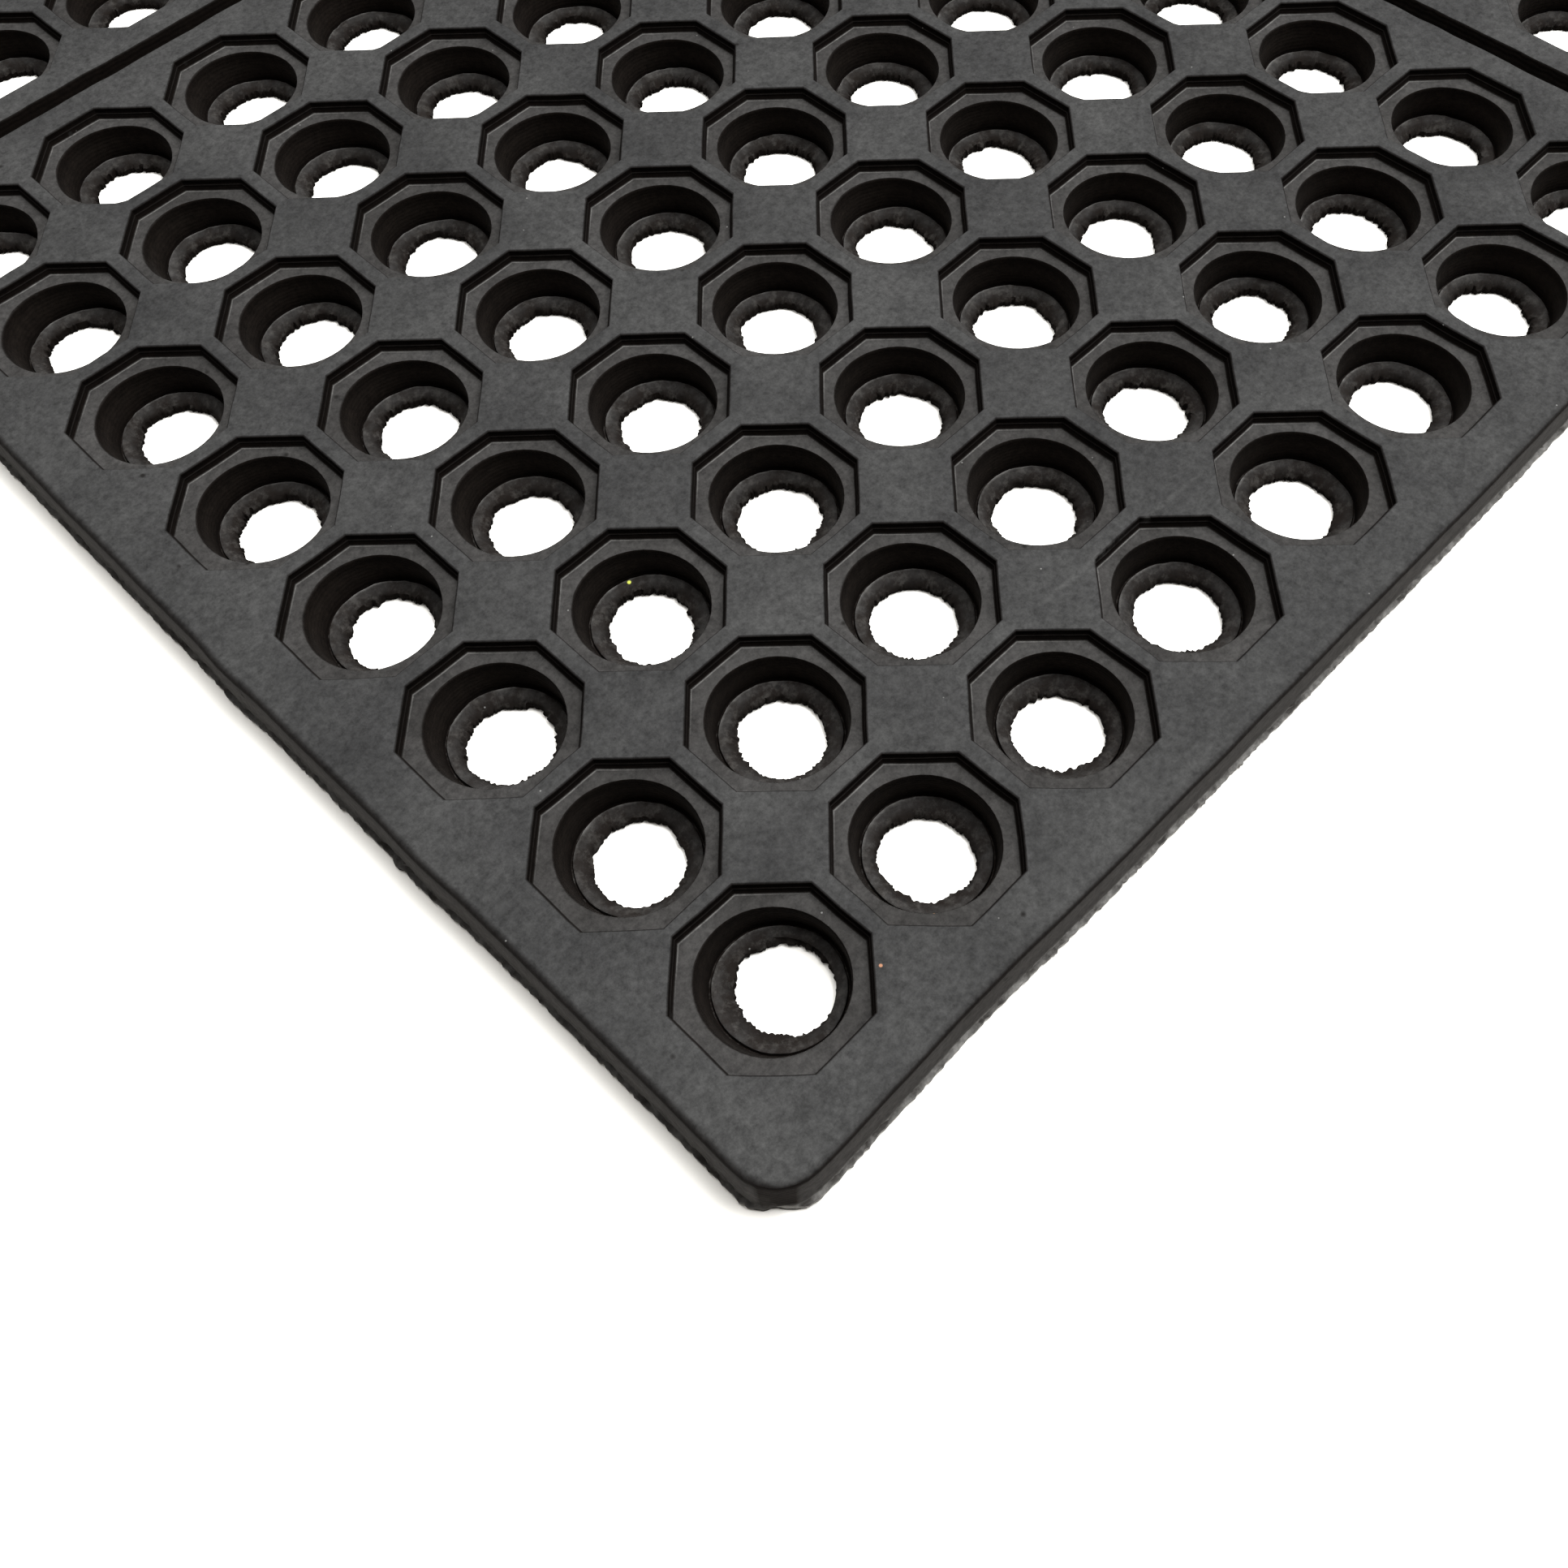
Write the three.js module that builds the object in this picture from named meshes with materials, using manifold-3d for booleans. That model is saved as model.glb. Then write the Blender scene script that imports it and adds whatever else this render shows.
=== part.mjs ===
// Moulded rubber drainage mat: a square slab with blocks of octagonal drain cells.
// Millimetres, +Z up. The origin is the middle of the underside, which rests on the floor.
import * as THREE from 'three';
import { ConvexGeometry } from 'three/addons/geometries/ConvexGeometry.js';
import { mergeVertices } from 'three/addons/utils/BufferGeometryUtils.js';
import Module from 'manifold-3d';

// Layout of the drain cells
const blocksEachWay = 2;
const cellsEachWay = 8;
const pitch = 29.4;
const stepAcrossGroove = 42.6;
const edgeMargin = 22;

// Slab with its thin moulding lip
const thickness = 10.6;
const cornerRadius = 7.3;
const cornerSteps = 3;
const lipReach = 0.9;
const lipThickness = 1.3;

// Section of one drain cell, from the top face down to the outlet
const webWidth = 3;
const ledgeDepth = 8.2;
const ledgeDiameter = 18.7;
const outletDiameter = 13.9;
const mouthSides = 8;
const outletSides = 6;

// Grooves between the blocks
const grooveWidth = 3.9;
const grooveFloor = 1.6;
const grooveDepth = 3;

// How far a groove's cutter runs past the faces that it opens
const overshoot = 1;

const wasm = await Module();
wasm.setup();

// Colour of the rubber
function rubber() {
  return new THREE.MeshStandardMaterial({
    color: 0x4c4c4b, roughness: 0.68, metalness: 0, flatShading: true,
  });
}

// A closed geometry as a solid that can be cut and joined
function toSolid(geometry) {
  const bare = geometry.clone();
  bare.deleteAttribute('normal');
  bare.deleteAttribute('uv');
  const welded = mergeVertices(bare, 1e-4);
  return new wasm.Manifold(new wasm.Mesh({
    numProp: 3,
    vertProperties: new Float32Array(welded.attributes.position.array),
    triVerts: new Uint32Array(welded.index.array),
  }));
}

// A finished solid as a geometry
function toGeometry(solid) {
  const cut = solid.getMesh();
  const geometry = new THREE.BufferGeometry();
  geometry.setAttribute('position', new THREE.BufferAttribute(new Float32Array(cut.vertProperties), 3));
  geometry.setIndex(new THREE.BufferAttribute(new Uint32Array(cut.triVerts), 1));
  geometry.computeVertexNormals();
  return geometry;
}

// Places of the cells along one side, centred on the mat
function cellPlaces() {
  const places = [];
  const blockStep = (cellsEachWay - 1) * pitch + stepAcrossGroove;
  for (let block = 0; block < blocksEachWay; block += 1) {
    for (let cell = 0; cell < cellsEachWay; cell += 1) places.push(block * blockStep + cell * pitch);
  }
  const middle = places[places.length - 1] / 2;
  return places.map((place) => place - middle);
}

// Places of the grooves, midway between the last cell of a block and the first of the next
function groovePlaces(places) {
  const middles = [];
  for (let block = 1; block < blocksEachWay; block += 1) {
    const next = block * cellsEachWay;
    middles.push((places[next - 1] + places[next]) / 2);
  }
  return middles;
}

// A flat slab on the floor with rounded corners
function roundedSlab(side, radius, height) {
  const straight = side / 2 - radius;
  const outline = new THREE.Shape();
  outline.absarc(straight, straight, radius, 0, Math.PI / 2);
  outline.absarc(-straight, straight, radius, Math.PI / 2, Math.PI);
  outline.absarc(-straight, -straight, radius, Math.PI, 1.5 * Math.PI);
  outline.absarc(straight, -straight, radius, 1.5 * Math.PI, 2 * Math.PI);
  outline.closePath();
  return new THREE.ExtrudeGeometry(outline, {
    depth: height, bevelEnabled: false, curveSegments: cornerSteps,
  });
}

// Corner radius of a polygon that has the area of a circle
function equalAreaRadius(diameter, sides) {
  return (diameter / 2) * Math.sqrt((2 * Math.PI) / (sides * Math.sin((2 * Math.PI) / sides)));
}

// A ring of points with its flats square to the mat's sides
function ring(sides, radius, height) {
  return Array.from({ length: sides }, (_, index) => {
    const angle = ((index + 0.5) * 2 * Math.PI) / sides;
    return new THREE.Vector3(radius * Math.cos(angle), radius * Math.sin(angle), height);
  });
}

// The space of one drain cell: an octagonal mouth that narrows to the ledge, then to the outlet
function cellSpace() {
  const mouthRadius = (pitch - webWidth) / 2 / Math.cos(Math.PI / mouthSides);
  const ledgeRadius = equalAreaRadius(ledgeDiameter, mouthSides);
  const outletRadius = equalAreaRadius(outletDiameter, outletSides);
  return new ConvexGeometry([
    ...ring(mouthSides, mouthRadius, thickness),
    ...ring(mouthSides, ledgeRadius, thickness - ledgeDepth),
    ...ring(outletSides, outletRadius, 0),
  ]);
}

// The space of one groove, running along Y through the top face
function grooveSpace(length) {
  const flare = (grooveWidth - grooveFloor) / 2 / grooveDepth;
  const topHalf = grooveWidth / 2 + flare * overshoot;
  const outline = new THREE.Shape([
    new THREE.Vector2(-topHalf, overshoot),
    new THREE.Vector2(-grooveFloor / 2, -grooveDepth),
    new THREE.Vector2(grooveFloor / 2, -grooveDepth),
    new THREE.Vector2(topHalf, overshoot),
  ]);
  const geometry = new THREE.ExtrudeGeometry(outline, { depth: length, bevelEnabled: false });
  geometry.translate(0, thickness, -length / 2);
  return geometry.rotateX(Math.PI / 2);
}

// The whole mat as one moulded body
function drainageMat() {
  const places = cellPlaces();
  const topSide = places[places.length - 1] - places[0] + 2 * edgeMargin;
  const lipSide = topSide + 2 * lipReach;
  const slab = toSolid(roundedSlab(topSide, cornerRadius, thickness));
  let body = slab.add(toSolid(roundedSlab(lipSide, cornerRadius + lipReach, lipThickness)));

  const groove = toSolid(grooveSpace(lipSide + 2 * overshoot));
  for (const place of groovePlaces(places)) {
    body = body.subtract(groove.translate([place, 0, 0]));
    body = body.subtract(groove.rotate([0, 0, 90]).translate([0, place, 0]));
  }

  const cell = toSolid(cellSpace());
  for (const x of places) {
    for (const y of places) body = body.subtract(cell.translate([x, y, 0]));
  }
  const mesh = new THREE.Mesh(toGeometry(body), rubber());
  mesh.name = 'rubber_mat';
  return mesh;
}

const model = new THREE.Group();
model.add(drainageMat());

export default model;
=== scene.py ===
import math
import random
import bmesh
import bpy
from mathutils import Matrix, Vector, noise


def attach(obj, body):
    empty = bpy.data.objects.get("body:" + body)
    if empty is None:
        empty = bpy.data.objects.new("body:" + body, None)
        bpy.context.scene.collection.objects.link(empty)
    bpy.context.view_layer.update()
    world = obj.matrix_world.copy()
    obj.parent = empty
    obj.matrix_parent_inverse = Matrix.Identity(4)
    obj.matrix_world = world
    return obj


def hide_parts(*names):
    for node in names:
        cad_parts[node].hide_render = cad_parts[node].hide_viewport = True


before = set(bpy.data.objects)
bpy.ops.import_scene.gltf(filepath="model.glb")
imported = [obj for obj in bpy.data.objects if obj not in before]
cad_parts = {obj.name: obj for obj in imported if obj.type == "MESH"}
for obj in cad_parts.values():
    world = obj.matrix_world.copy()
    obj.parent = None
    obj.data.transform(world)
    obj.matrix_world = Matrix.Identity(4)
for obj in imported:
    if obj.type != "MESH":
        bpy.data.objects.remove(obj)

MM = 0.001
SEED = 41

# Layout of the drain cells, in millimetres, as in the CAD node
PITCH = 29.4
CELLS = 8
STEP_ACROSS_GROOVE = 42.6
EDGE_MARGIN = 22.0
THICKNESS = 10.6
CORNER_RADIUS = 7.3
BLOCK_STEP = (CELLS - 1) * PITCH + STEP_ACROSS_GROOVE
FIRST_CELL = -(BLOCK_STEP + (CELLS - 1) * PITCH) / 2
BORDER = -FIRST_CELL + EDGE_MARGIN

# Section of one cell from the top face down, as (half-width or radius, height, painted light).
# Painted light below zero is painted shade in crevices, and above zero a painted highlight on edges.
OCTAGON_SECTION = [(13.5, 10.6, 0.0), (13.4, 10.56, -0.4), (13.2, 10.34, -1.0), (13.12, 9.5, -1.0),
                   (12.98, 9.38, -0.8), (12.84, 8.6, -1.0), (12.64, 8.38, 0.6), (12.42, 8.34, 0.0)]
BORE_SECTION = [(11.15, 8.34, 0.0), (10.94, 8.26, 0.0), (10.77, 7.95, -0.6), (10.7, 7.45, -0.7),
                (10.45, 5.6, 0.0), (10.05, 2.9, -0.6), (9.82, 1.9, -1.0), (9.62, 1.85, -1.0),
                (9.44, 2.38, 0.9), (9.22, 2.48, 0.35), (8.9, 2.42, -0.1), (8.3, 2.2, -0.3),
                (7.85, 1.9, -0.5)]
OUTLET_SECTION = [(7.25, 1.5, -0.8), (6.93, 1.0, -0.9), (7.1, 0.0, -1.0)]

# Rows below this height belong to the ledge and are rougher than the bore above them
LEDGE_TOP = 2.9

# The side of a cell, seen from its middle, whose edges get a painted highlight as if they caught the
# light
LIT_SIDE = math.radians(85)

# How the cells wander from the exact grid and section
OUTER_CELL_GROWTH = 0.55
OUTLET_SHIFT = (1.1, 0.1)
CORNER_CELL_SHIFT = (0.0, 0.8)
CORNER_OUTLET_SHIFT = (0.9, -0.2)
BORE_PLAY = 0.2
OUTLET_PLAY = 0.3
MOUTH_WANDER = 0.12
BORE_WANDER = 0.09
LEDGE_WANDER = 0.07
LEDGE_SWELL = 0.25
LEDGE_GRAIN = 0.16
TORN_WANDER = 0.5
RAGGED_LIFT = 0.25
RAGGED_GRAIN = 0.15
TOP_SHARE_OF_TEAR = 0.45

# Section of the outer edge, as (distance outside the border, height, painted light on the Y sides,
# painted light on the X sides). The rows from LIP_FIRST on are the torn moulding lip.
EDGE_SECTION = [(-1.1, 10.6, 0.0, 0.0), (-0.4, 10.52, -0.3, -0.65), (-0.1, 10.3, -0.85, -0.85),
                (0.0, 9.95, -1.0, -0.9), (0.07, 9.75, -0.8, -0.7), (0.09, 9.2, -0.25, -0.35),
                (0.11, 6.8, -0.1, 0.0), (0.14, 3.6, -0.1, 0.06), (0.18, 1.9, 0.1, 0.1),
                (0.28, 1.5, 0.7, 0.16), (0.86, 1.25, 1.0, 0.2), (0.9, 0.7, 1.0, 0.2),
                (0.7, 0.0, -0.5, -0.5)]
LIP_FIRST = 9

# How far the lip is torn and the whole edge wanders, and how far in from the edge both fade out
LIP_TEAR = 0.42
EDGE_WANDER = 0.12
EDGE_FADE = 2.5

# Section of a groove, as (distance from its middle, height, painted shade)
GROOVE_SECTION = [(2.4, 10.6, 0.0), (2.12, 10.52, -0.15), (1.95, 10.2, -0.8), (1.78, 9.4, -1.0),
                  (1.2, 8.0, -1.0), (0.0, 7.7, -0.95)]

# How far a groove's sides wander, down to where it is this narrow, and how close to a row of its
# section a point counts as the groove's
GROOVE_WANDER = 0.22
GROOVE_FLOOR_HALF = 1.5
GROOVE_SLACK = 0.3

# How the photographed edges swell or dip, as (side, place along it, half-length, reach)
SWELLS = [(0, -120.0, 110.0, 0.8), (0, -133.0, 9.0, 0.35), (0, -178.0, 9.0, 0.3),
          (1, -210.0, 30.0, -0.6), (1, -100.0, 70.0, 0.3)]

# A small spur of the lip on side 0
SPUR_PLACE = -172.0
SPUR_REACH = 0.7
SPUR_HALF = 1.2

# How far the outer edges out of view swell or dip
UNSEEN_SWELL = 0.25

# The near corner's torn tip is cut where |x| + |y| passes this
CORNER_CUT = 494.0
CORNER_TEAR = 0.8

# How the top face drifts up and down
TOP_DRIFT = 0.12
TOP_RIPPLE = 0.05
TOP_DROP = 0.08

# Points closer than this many metres become one, and edges sharper than this angle stay sharp
WELD = 2e-6
SHARP_ANGLE = math.radians(36)

# Specks of coloured dirt, as (place, size, colour)
SPECKS = [((-193.5, -160.0, 2.45), 0.42, (0.55, 0.60, 0.10)),
          ((-216.2, -236.0, 10.6), 0.3, (0.30, 0.15, 0.09)),
          ((-204.6, -235.2, 8.34), 0.36, (0.42, 0.22, 0.12)),
          ((-73.8, -200.0, 10.6), 0.3, (0.35, 0.05, 0.04))]

# A light scuff across the top face
SCUFF_PLACE = (-140.0, -214.3, 10.6)
SCUFF_TURN = math.radians(-3)
SCUFF_SIZE = (27.0, 0.7, 5.0)

# Colours of the top face and of the sunk faces, each from its dark clouds to its light ones
TOP_COLOURS = (0.0200, 0.0200, 0.0201), (0.0345, 0.0345, 0.0340)
SUNK_COLOURS = (0.0180, 0.0171, 0.0163), (0.0325, 0.0315, 0.0306)

# Colours of the walls, with the cell walls darkened by painted shade, of painted shade in crevices,
# painted highlights on edges, ledge stains and painted ledge sheen, and of what lies on the rubber
CELL_WALL_PAINTED_SHADE = (0.0062, 0.0047, 0.0038)
OUTER_WALL = (0.0285, 0.0270, 0.0262)
PAINTED_CREVICE_SHADE = (0.0024, 0.0016, 0.0012)
PAINTED_HIGHLIGHT = (0.15, 0.147, 0.141)
LEDGE_STAIN = (0.008, 0.0062, 0.0052)
LEDGE_PAINTED_SHEEN = (0.085, 0.081, 0.075)
PIT = (0.008, 0.0075, 0.007)
DUST = (0.12, 0.12, 0.115)
SCUFF = (0.075, 0.075, 0.073)

# Where these colours change over: heights and distances in metres, and the upward part of a
# face's normal that tells a level face from a wall
TOP_FACE_ABOVE = (THICKNESS - 1.6) * MM, (THICKNESS - 0.6) * MM
LEDGE_BELOW = 0.0042, 0.0034
OUTSIDE_BEYOND = (BORDER - 0.7) * MM, (BORDER - 0.4) * MM
LEVEL_ABOVE = 0.35, 0.75

# Colours of the floor and of the light from all round
FLOOR = (0.9, 0.885, 0.845)
SKY = (1.0, 0.93, 0.84)
SKY_STRENGTH = 0.2

# Floor, lamps and camera: places in metres, turns in degrees, sensor and lens in millimetres
FLOOR_REACH = 4.0
FLOOR_DROP = 0.0001
LIGHT_TARGET = (-0.15, -0.15, 0.0)
SENSOR_WIDTH = 36.0
LENS = 35.32
CAMERA_PLACE = (-0.2761, -0.28545, 0.20216)
CAMERA_TURN = (28.751, 1.74, -45.236)

# How many points a ring of each kind has, and each side of an outline at the edge and on the lip
POLYGON_POINTS = 32
BORE_POINTS = 48
OUTLET_POINTS = 144
EDGE_POINTS = 128
LIP_POINTS = 384

# Blocks by their side of the mat, 0 towards -X or -Y and 1 towards +X or +Y
BLOCK_NAMES = {(0, 0): "front", (1, 0): "right", (0, 1): "left", (1, 1): "back"}


def curl(angle, rate, seed):
    """Smooth noise from -1 to 1 that closes on itself round a hole."""
    return noise.noise(Vector((math.cos(angle) * rate, math.sin(angle) * rate, seed)))


def drift(x, y, scale, seed):
    """Smooth noise from -1 to 1 over the mat."""
    return noise.noise(Vector((x / scale, y / scale, seed)))


class Skin:
    """The points of one block with their painted light, and its faces."""

    def __init__(self):
        self.points = []
        self.painted_light = []
        self.faces = []

    def add(self, ring, painted_light=0.0):
        """Add a ring of points and return their numbers."""
        start = len(self.points)
        self.points.extend(ring)
        self.painted_light.extend([painted_light] * len(ring))
        return range(start, start + len(ring))

    def fade(self, ring):
        """Keep the painted highlight of a ring on the side of the cell that faces the light, fading it
        elsewhere.
        """
        for k, index in enumerate(ring):
            if self.painted_light[index] > 0:
                self.painted_light[index] *= max(0.0, math.cos(2 * math.pi * k / len(ring) - LIT_SIDE)) ** 3

    def band(self, outer, inner):
        """Faces between two closed rings, whatever their counts."""
        many, few = len(outer), len(inner)
        i = j = 0
        while i < many or j < few:
            if many == few:
                self.faces.append((outer[i], outer[(i + 1) % many], inner[(j + 1) % few], inner[j]))
                i, j = i + 1, j + 1
            elif j >= few or (i < many and (i + 1) * few <= (j + 1) * many):
                self.faces.append((outer[i], outer[(i + 1) % many], inner[j % few]))
                i += 1
            else:
                self.faces.append((outer[i % many], inner[(j + 1) % few], inner[j]))
                j += 1


def polygon_ring(cx, cy, reach, height, sides, wobble=None):
    """Points round a regular polygon whose flats lie at that reach."""
    ring = []
    for k in range(POLYGON_POINTS):
        angle = 2 * math.pi * k / POLYGON_POINTS
        sector = 2 * math.pi / sides
        radius = reach / math.cos((angle + sector / 2) % sector - sector / 2)
        if wobble:
            radius += wobble(angle)
        ring.append((cx + radius * math.cos(angle), cy + radius * math.sin(angle), height))
    return ring


def round_ring(cx, cy, radius, height, count, wobble, lift):
    """Points round a circle that wanders by wobble outwards and by lift upwards."""
    ring = []
    for k in range(count):
        angle = 2 * math.pi * k / count
        r = radius + wobble(angle)
        ring.append((cx + r * math.cos(angle), cy + r * math.sin(angle), height + lift(angle)))
    return ring


def make_cell(skin, cx, cy, outward, dice):
    """One drain cell inside a square of one pitch. outward points off the mat from an edge cell."""
    seed = dice.uniform(0, 90)
    nearest = outward == [-1, -1]
    last = skin.add(polygon_ring(cx, cy, PITCH / 2, THICKNESS, 4))
    foot = cx, cy
    if nearest:
        cx, cy = cx + CORNER_CELL_SHIFT[0], cy + CORNER_CELL_SHIFT[1]

    def mouth(angle):
        grow = max(0.0, outward[0] * math.cos(angle)) + max(0.0, outward[1] * math.sin(angle))
        return OUTER_CELL_GROWTH * grow + MOUTH_WANDER * curl(angle, 2.2, seed)

    for reach, height, painted_light in OCTAGON_SECTION:
        ring = skin.add(polygon_ring(cx, cy, reach, height, 8, mouth), painted_light)
        skin.fade(ring)
        skin.band(last, ring)
        last = ring

    bore = [c + dice.uniform(-BORE_PLAY, BORE_PLAY) for c in (cx, cy)]
    outlet = [c + shift + dice.uniform(-OUTLET_PLAY, OUTLET_PLAY)
              for c, shift in zip((cx, cy), OUTLET_SHIFT)]
    top_height = BORE_SECTION[0][1]
    for radius, height, painted_light in BORE_SECTION:
        low = height < LEDGE_TOP
        share = min(1.0, (top_height - height) / (top_height - LEDGE_TOP))
        x, y = (bore[a] + (outlet[a] - bore[a]) * share for a in (0, 1))

        def wobble(angle):
            fine = LEDGE_WANDER * curl(angle, 9, seed + 6) if low else 0
            return BORE_WANDER * curl(angle, 1.6, seed + 5) + fine

        def lift(angle):
            if not low:
                return 0
            return LEDGE_SWELL * curl(angle, 1.9, seed + 9) + LEDGE_GRAIN * curl(angle, 9, seed + 7)

        ring = skin.add(round_ring(x, y, radius, height, BORE_POINTS, wobble, lift), painted_light)
        skin.fade(ring)
        skin.band(last, ring)
        last = ring

    if nearest:
        outlet = [outlet[a] + CORNER_OUTLET_SHIFT[a] for a in (0, 1)]
    oval, turn, rag = dice.uniform(0.0, 0.3), dice.uniform(0, math.pi), dice.uniform(0.3, 0.5)

    def torn(angle):
        jag = curl(angle, 15, seed + 30) + 0.8 * curl(angle, 38, seed + 33)
        wander = TORN_WANDER * curl(angle, 2.2, seed + 20)
        return oval * math.cos(2 * (angle - turn)) + wander + rag * jag

    def ragged(angle):
        return RAGGED_LIFT * curl(angle, 7, seed + 40) + RAGGED_GRAIN * curl(angle, 20, seed + 41)

    def still(_angle):
        return 0.0

    for n, (radius, height, painted_light) in enumerate(OUTLET_SECTION):
        share = 1.0 if n else TOP_SHARE_OF_TEAR
        lift = ragged if height else still
        ring = skin.add(round_ring(*outlet, radius, height, OUTLET_POINTS,
                                   lambda angle: share * torn(angle), lift), painted_light)
        skin.band(last, ring)
        last = ring
    skin.band(last, skin.add(polygon_ring(*foot, PITCH / 2, 0.0, 4)))


def swell(block, side, place, on_lip):
    """How far an outer edge stands out at a place along it."""
    if block != (0, 0):
        return UNSEEN_SWELL * noise.noise(Vector((place / 50, side, 1.7)))
    out = 0.0
    for at_side, middle, half, reach in SWELLS:
        if at_side == side:
            out += reach * max(0.0, 1 - ((place - middle) / half) ** 2) ** 2
    if on_lip and side == 0:
        out += SPUR_REACH * max(0.0, 1 - abs(place - SPUR_PLACE) / SPUR_HALF)
    return out


def block_outline(block, groove_off, border_off, count, height, on_lip):
    """One ring round a block: two sides on the grooves, two on the mat's rounded outer edge."""
    sign = [1 if b else -1 for b in block]
    near = [sign[a] * groove_off for a in (0, 1)]
    far = [sign[a] * (BORDER + border_off) for a in (0, 1)]
    low = [min(near[a], far[a]) for a in (0, 1)]
    high = [max(near[a], far[a]) for a in (0, 1)]
    corners = [(low[0], low[1]), (high[0], low[1]), (high[0], high[1]), (low[0], high[1])]
    radius = CORNER_RADIUS + border_off
    middle = [far[a] - sign[a] * radius for a in (0, 1)]
    ring = []
    for side in range(4):
        a, b = corners[side], corners[(side + 1) % 4]
        for k in range(count):
            p = [a[n] + (b[n] - a[n]) * k / count for n in (0, 1)]
            d = [(p[n] - middle[n]) * sign[n] for n in (0, 1)]
            if min(d) > 0:
                scale = max(d) / math.hypot(*d)
                p = [middle[n] + sign[n] * d[n] * scale for n in (0, 1)]
            spot = list(p)
            for n in (0, 1):
                edge = max(0.0, 1 - abs(abs(spot[n]) - BORDER - border_off) / EDGE_FADE)
                shift = swell(block, n, spot[1 - n], on_lip) + EDGE_WANDER * drift(*spot, 9, 5.1)
                if on_lip:
                    tear = drift(*spot, 0.83, 2.0) + 0.2 * drift(*spot, 4.3, 4.0)
                    shift += LIP_TEAR * tear
                groove = 0.0
                if groove_off > GROOVE_FLOOR_HALF:
                    groove = max(0.0, 1 - abs(abs(spot[n]) - groove_off))
                p[n] += sign[n] * (edge * shift + groove * GROOVE_WANDER * drift(*spot, 4.0, 7.3))
            over = (abs(p[0]) + abs(p[1]) - CORNER_CUT - CORNER_TEAR * drift(*spot, 1.3, 6.0)) / 2
            if over > 0 and block == (0, 0):
                p = [p[n] - sign[n] * over for n in (0, 1)]
            ring.append((p[0], p[1], height))
    return ring


def make_block(block):
    """One block of cells with its outer edges and its half of the grooves."""
    dice = random.Random(SEED + block[0] * 7 + block[1] * 13)
    skin = Skin()
    sign = [1 if b else -1 for b in block]
    start = [FIRST_CELL + b * BLOCK_STEP for b in block]
    for i in range(CELLS):
        for j in range(CELLS):
            at_edge = [n == (CELLS - 1 if block[a] else 0) for a, n in ((0, i), (1, j))]
            outward = [sign[a] if at_edge[a] else 0 for a in (0, 1)]
            make_cell(skin, start[0] + i * PITCH, start[1] + j * PITCH, outward, dice)

    low = [start[a] - PITCH / 2 for a in (0, 1)]
    reach = CELLS * PITCH
    steps = POLYGON_POINTS // 4
    stops = [PITCH / 2 * (1 + math.tan(math.pi / 2 * k / steps - math.pi / 4)) for k in range(steps)]
    corners = [(0, 0), (1, 0), (1, 1), (0, 1)]
    square = []
    for side in range(4):
        a, b = corners[side], corners[(side + 1) % 4]
        for cell in range(CELLS):
            for stop in stops:
                along = cell * PITCH + stop
                square.append([low[n] + reach * a[n] + (b[n] - a[n]) * along for n in (0, 1)])
    last = skin.add([(x, y, THICKNESS) for x, y in square])
    for n, (border_off, height, *painted_light) in enumerate(EDGE_SECTION):
        groove_off, groove_height, groove_painted_shade = GROOVE_SECTION[min(n, len(GROOVE_SECTION) - 1)]
        on_lip = n >= LIP_FIRST
        side_points = LIP_POINTS if on_lip else EDGE_POINTS
        ring = block_outline(block, groove_off, border_off, side_points, height, on_lip)
        at_groove = [min(abs(x), abs(y)) <= groove_off + GROOVE_SLACK for x, y, _ in ring]
        if height > 0:
            ring = [(x, y, groove_height if g else height) for (x, y, _), g in zip(ring, at_groove)]
        ring = skin.add(ring)
        for index, g in zip(ring, at_groove):
            x, y, _ = skin.points[index]
            skin.painted_light[index] = groove_painted_shade if g else painted_light[abs(x) > abs(y)]
        skin.band(last, ring)
        last = ring
    skin.band(last, skin.add([(x, y, 0.0) for x, y in square]))

    name = "rubber_block_" + BLOCK_NAMES[block]
    mesh = bpy.data.meshes.new(name)
    points = []
    for x, y, z in skin.points:
        lift = TOP_DRIFT * drift(x, y, 70, 3.1) + TOP_RIPPLE * drift(x, y, 17, 8.2) - TOP_DROP
        points.append((x * MM, y * MM, max(0.0, z + lift * z / THICKNESS) * MM))
    mesh.from_pydata(points, [], skin.faces)
    mesh.attributes.new("painted_light", "FLOAT", "POINT").data.foreach_set("value", skin.painted_light)
    work = bmesh.new()
    work.from_mesh(mesh)
    bmesh.ops.remove_doubles(work, verts=work.verts, dist=WELD)
    bmesh.ops.recalc_face_normals(work, faces=work.faces)
    work.to_mesh(mesh)
    work.free()
    mesh.shade_smooth()
    mesh.set_sharp_from_angle(angle=SHARP_ANGLE)
    piece = bpy.data.objects.new(name, mesh)
    bpy.context.scene.collection.objects.link(piece)
    return piece


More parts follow.
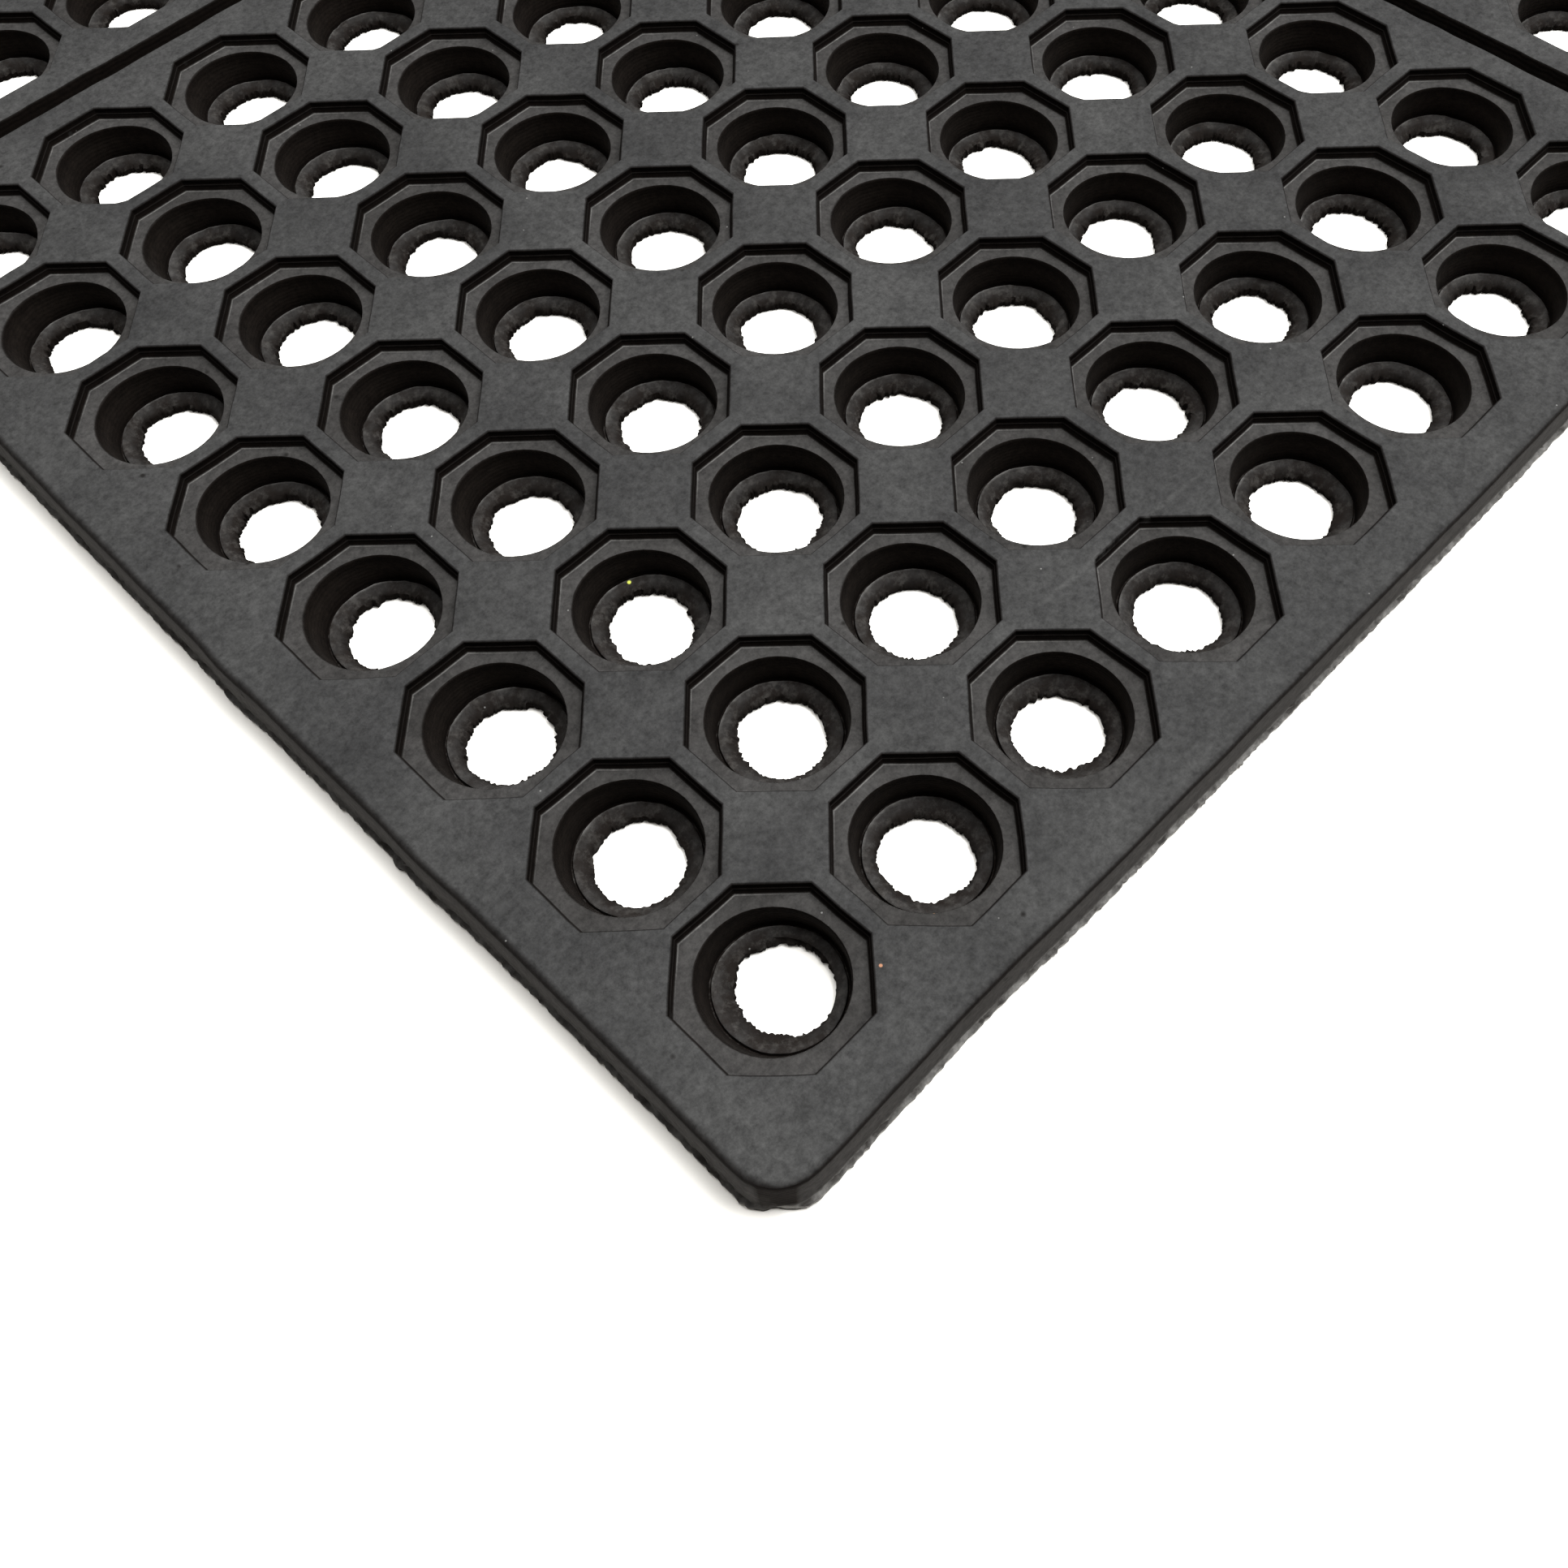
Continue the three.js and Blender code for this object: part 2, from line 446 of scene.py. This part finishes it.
class Graph:
    """Short calls for building a material's nodes."""

    def __init__(self, name):
        self.mat = bpy.data.materials.new(name)
        self.mat.use_nodes = True
        self.nodes, self.links = self.mat.node_tree.nodes, self.mat.node_tree.links
        self.shader = self.nodes["Principled BSDF"]
        self.place = self.nodes.new("ShaderNodeTexCoord").outputs["Object"]

    def feed(self, socket, value):
        """Link a socket to another node's, or set it to a number or a colour."""
        if isinstance(value, bpy.types.NodeSocket):
            self.links.new(value, socket)
        elif isinstance(value, tuple):
            socket.default_value = (*value, 1)
        else:
            socket.default_value = value

    def noise(self, scale, detail, rough=0.6):
        """Cloudy noise, about 0.5 on average."""
        node = self.nodes.new("ShaderNodeTexNoise")
        node.inputs["Scale"].default_value = scale
        node.inputs["Detail"].default_value = detail
        node.inputs["Roughness"].default_value = rough
        self.links.new(self.place, node.inputs["Vector"])
        return node.outputs["Fac"]

    def cells(self, scale):
        """Distance to the nearest of many scattered points, and that point's random colour."""
        node = self.nodes.new("ShaderNodeTexVoronoi")
        node.inputs["Scale"].default_value = scale
        self.links.new(self.place, node.inputs["Vector"])
        return node.outputs["Distance"], node.outputs["Color"]

    def range(self, value, low, high, to_low=0.0, to_high=1.0):
        """Map one span of a value to another and hold it at the ends."""
        node = self.nodes.new("ShaderNodeMapRange")
        limits = {"From Min": low, "From Max": high, "To Min": to_low, "To Max": to_high}
        for name, number in limits.items():
            node.inputs[name].default_value = number
        self.links.new(value, node.inputs["Value"])
        return node.outputs[0]

    def mix(self, kind, factor, a, b):
        """Colour a with colour b mixed or multiplied in by the factor."""
        node = self.nodes.new("ShaderNodeMix")
        node.data_type = "RGBA"
        node.blend_type = kind
        self.feed(node.inputs[0], factor)
        self.feed(node.inputs[6], a)
        self.feed(node.inputs[7], b)
        return node.outputs[2]

    def math(self, kind, a, b=0.0):
        """One calculation with two numbers or sockets."""
        node = self.nodes.new("ShaderNodeMath")
        node.operation = kind
        self.feed(node.inputs[0], a)
        self.feed(node.inputs[1], b)
        return node.outputs[0]

    def near(self, place, size):
        """1 within a small distance of a place given in millimetres."""
        node = self.nodes.new("ShaderNodeVectorMath")
        node.operation = "DISTANCE"
        self.links.new(self.place, node.inputs[0])
        node.inputs[1].default_value = [v * MM for v in place]
        return self.range(node.outputs["Value"], size * MM, size * MM * 0.6)

    def streak(self, place, turn, size):
        """1 along the middle of a long thin patch, falling to 0 at its edge."""
        node = self.nodes.new("ShaderNodeMapping")
        node.vector_type = "TEXTURE"
        self.links.new(self.place, node.inputs["Vector"])
        node.inputs["Location"].default_value = [v * MM for v in place]
        node.inputs["Rotation"].default_value = (0, 0, turn)
        node.inputs["Scale"].default_value = [v * MM for v in size]
        length = self.nodes.new("ShaderNodeVectorMath")
        length.operation = "LENGTH"
        self.links.new(node.outputs["Vector"], length.inputs[0])
        return self.range(length.outputs["Value"], 1.0, 0.4)

    def parts(self, vector):
        """The three parts of a vector or colour."""
        node = self.nodes.new("ShaderNodeSeparateXYZ")
        self.links.new(vector, node.inputs[0])
        return node.outputs


def build_rubber():
    """Black moulded rubber: grey bloom on the faces, brown-black walls with painted shade, painted shade
    in crevices, painted highlights and sheen, grain, pits and dust.
    """
    g = Graph("moulded_rubber")
    x, y, z = g.parts(g.place)
    facing = g.parts(g.nodes.new("ShaderNodeNewGeometry").outputs["Normal"])[2]

    # Faces, walls and the painted light: painted shade in crevices and painted highlights on edges
    cloud = g.range(g.noise(55.0, 6.0), 0.3, 0.7)
    level = g.range(z, *TOP_FACE_ABOVE)
    face = g.mix("MIX", level, g.mix("MIX", cloud, *SUNK_COLOURS), g.mix("MIX", cloud, *TOP_COLOURS))
    flat = g.range(facing, *LEVEL_ABOVE)
    from_middle = g.math("MAXIMUM", g.math("ABSOLUTE", x), g.math("ABSOLUTE", y))
    outside = g.range(from_middle, *OUTSIDE_BEYOND)
    # Walls take the wall colours; the cell walls are darkened far below the faces as painted shade
    body = g.mix("MIX", flat, g.mix("MIX", outside, CELL_WALL_PAINTED_SHADE, OUTER_WALL), face)
    attribute = g.nodes.new("ShaderNodeAttribute")
    attribute.attribute_name = "painted_light"
    painted_light = attribute.outputs["Fac"]
    # Painted shade: crevices darkened where the painted light is below zero
    body = g.mix("MIX", g.range(painted_light, 0.0, -1.0), body, PAINTED_CREVICE_SHADE)
    # Painted highlight: edges lightened where the painted light is above zero
    body = g.mix("MIX", g.range(painted_light, 0.0, 1.0), body, PAINTED_HIGHLIGHT)

    # Grain of the mould
    grain = g.range(g.noise(900.0, 5.0, 0.75), 0.3, 0.7, 0.55, 1.45)
    shade = g.nodes.new("ShaderNodeCombineColor")
    for socket in shade.inputs[:3]:
        g.links.new(grain, socket)
    body = g.mix("MULTIPLY", 1.0, body, shade.outputs[0])

    # Stains and patches of painted sheen on the ledges round the outlets
    ledge = g.math("MULTIPLY", g.range(z, *LEDGE_BELOW), flat)
    stain = g.range(g.range(g.noise(260.0, 5.0, 0.7), 0.38, 0.6), 0.0, 1.0, 0.85, 0.1)
    body = g.mix("MIX", g.math("MULTIPLY", ledge, stain), body, LEDGE_STAIN)
    painted_sheen = g.math("MULTIPLY", g.range(g.noise(480.0, 6.0, 0.75), 0.5, 0.72), 0.35)
    body = g.mix("MIX", g.math("MULTIPLY", ledge, painted_sheen), body, LEDGE_PAINTED_SHEEN)

    # Small pits, dust, a scuff and coloured specks
    near_pit, _ = g.cells(170.0)
    pit = g.math("MULTIPLY", g.range(near_pit, 0.10, 0.04), g.range(g.noise(60.0, 1.0), 0.56, 0.6))
    body = g.mix("MIX", pit, body, PIT)
    near_dust, pick = g.cells(330.0)
    some = g.range(g.parts(pick)[0], 0.86, 0.865)
    dust = g.math("MULTIPLY", g.math("MULTIPLY", g.range(near_dust, 0.06, 0.03), some), flat)
    body = g.mix("MIX", dust, body, DUST)
    scuff = g.math("MULTIPLY", g.streak(SCUFF_PLACE, SCUFF_TURN, SCUFF_SIZE), level)
    scuff = g.math("MULTIPLY", scuff, g.range(g.noise(500.0, 3.0), 0.4, 0.65, 0.0, 0.45))
    body = g.mix("MIX", scuff, body, SCUFF)
    for place, size, colour in SPECKS:
        body = g.mix("MIX", g.near(place, size), body, colour)
    g.links.new(body, g.shader.inputs["Base Color"])

    # Satin faces, dull walls and crevices
    rough = g.range(g.noise(140.0, 4.0), 0.3, 0.7, 0.55, 0.8)
    dull = g.math("MAXIMUM", g.range(painted_light, 0.0, -0.5), g.math("SUBTRACT", 1.0, flat))
    g.links.new(g.math("MAXIMUM", rough, dull), g.shader.inputs["Roughness"])
    g.shader.inputs["Specular IOR Level"].default_value = 0.05

    # Relief of the skin, with turning lines on the cell walls
    turned = g.nodes.new("ShaderNodeTexWave")
    turned.bands_direction = "Z"
    turned.inputs["Scale"].default_value = 420.0
    turned.inputs["Distortion"].default_value = 3.0
    g.links.new(g.place, turned.inputs["Vector"])
    inside = g.math("MULTIPLY", g.math("SUBTRACT", 1.0, flat), g.math("SUBTRACT", 1.0, outside))
    lines = g.math("MULTIPLY", turned.outputs["Fac"], inside)
    relief = g.math("ADD", g.math("MULTIPLY", g.noise(170.0, 5.0), 0.7), g.math("MULTIPLY", lines, 0.15))
    relief = g.math("ADD", relief, g.math("MULTIPLY", g.noise(1500.0, 3.0, 0.7), 0.3))
    bump = g.nodes.new("ShaderNodeBump")
    bump.inputs["Strength"].default_value = 0.6
    bump.inputs["Distance"].default_value = 0.0003
    g.links.new(relief, bump.inputs["Height"])
    g.links.new(bump.outputs["Normal"], g.shader.inputs["Normal"])
    return g.mat


def build_stage():
    """A plain white floor."""
    mesh = bpy.data.meshes.new("floor")
    corners = [(-1, -1), (1, -1), (1, 1), (-1, 1)]
    mesh.from_pydata([(x * FLOOR_REACH, y * FLOOR_REACH, 0) for x, y in corners], [], [(0, 1, 2, 3)])
    floor = bpy.data.objects.new("floor", mesh)
    bpy.context.scene.collection.objects.link(floor)
    floor.location.z = -FLOOR_DROP
    mat = bpy.data.materials.new("white_floor")
    mat.use_nodes = True
    shader = mat.node_tree.nodes["Principled BSDF"]
    shader.inputs["Base Color"].default_value = (*FLOOR, 1)
    shader.inputs["Roughness"].default_value = 0.8
    floor.data.materials.append(mat)


def area_light(name, azimuth, elevation, distance, size, power):
    """A square soft light aimed at the near corner of the mat."""
    a, e = math.radians(azimuth), math.radians(elevation)
    way = Vector((math.cos(e) * math.cos(a), math.cos(e) * math.sin(a), math.sin(e)))
    data = bpy.data.lights.new(name, "AREA")
    data.size = size
    data.energy = power
    lamp = bpy.data.objects.new(name, data)
    lamp.location = Vector(LIGHT_TARGET) + way * distance
    lamp.rotation_euler = way.to_track_quat("Z", "Y").to_euler()
    bpy.context.scene.collection.objects.link(lamp)


def build_lights():
    """A soft overhead studio light, stronger from the right-hand side."""
    world = bpy.data.worlds.new("studio")
    bpy.context.scene.world = world
    world.use_nodes = True
    back = world.node_tree.nodes["Background"]
    back.inputs["Color"].default_value = (*SKY, 1)
    back.inputs["Strength"].default_value = SKY_STRENGTH
    area_light("key", azimuth=-32, elevation=64, distance=1.6, size=0.9, power=47)
    area_light("top", azimuth=60, elevation=74, distance=1.8, size=1.5, power=44)


def build_camera():
    """Camera fitted to the octagons of the photo: a 35 mm lens 0.2 m above the near corner."""
    data = bpy.data.cameras.new("camera")
    data.sensor_width = SENSOR_WIDTH
    data.lens = LENS
    data.clip_start = 0.01
    camera = bpy.data.objects.new("camera", data)
    camera.location = CAMERA_PLACE
    camera.rotation_euler = [math.radians(v) for v in CAMERA_TURN]
    bpy.context.scene.collection.objects.link(camera)
    bpy.context.scene.camera = camera


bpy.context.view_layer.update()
rubber = build_rubber()
for block in BLOCK_NAMES:
    piece = make_block(block)
    piece.data.materials.append(rubber)
    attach(piece, "root")
    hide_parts("rubber_mat")
build_stage()
build_lights()
build_camera()
bpy.context.scene.view_settings.view_transform = "Standard"
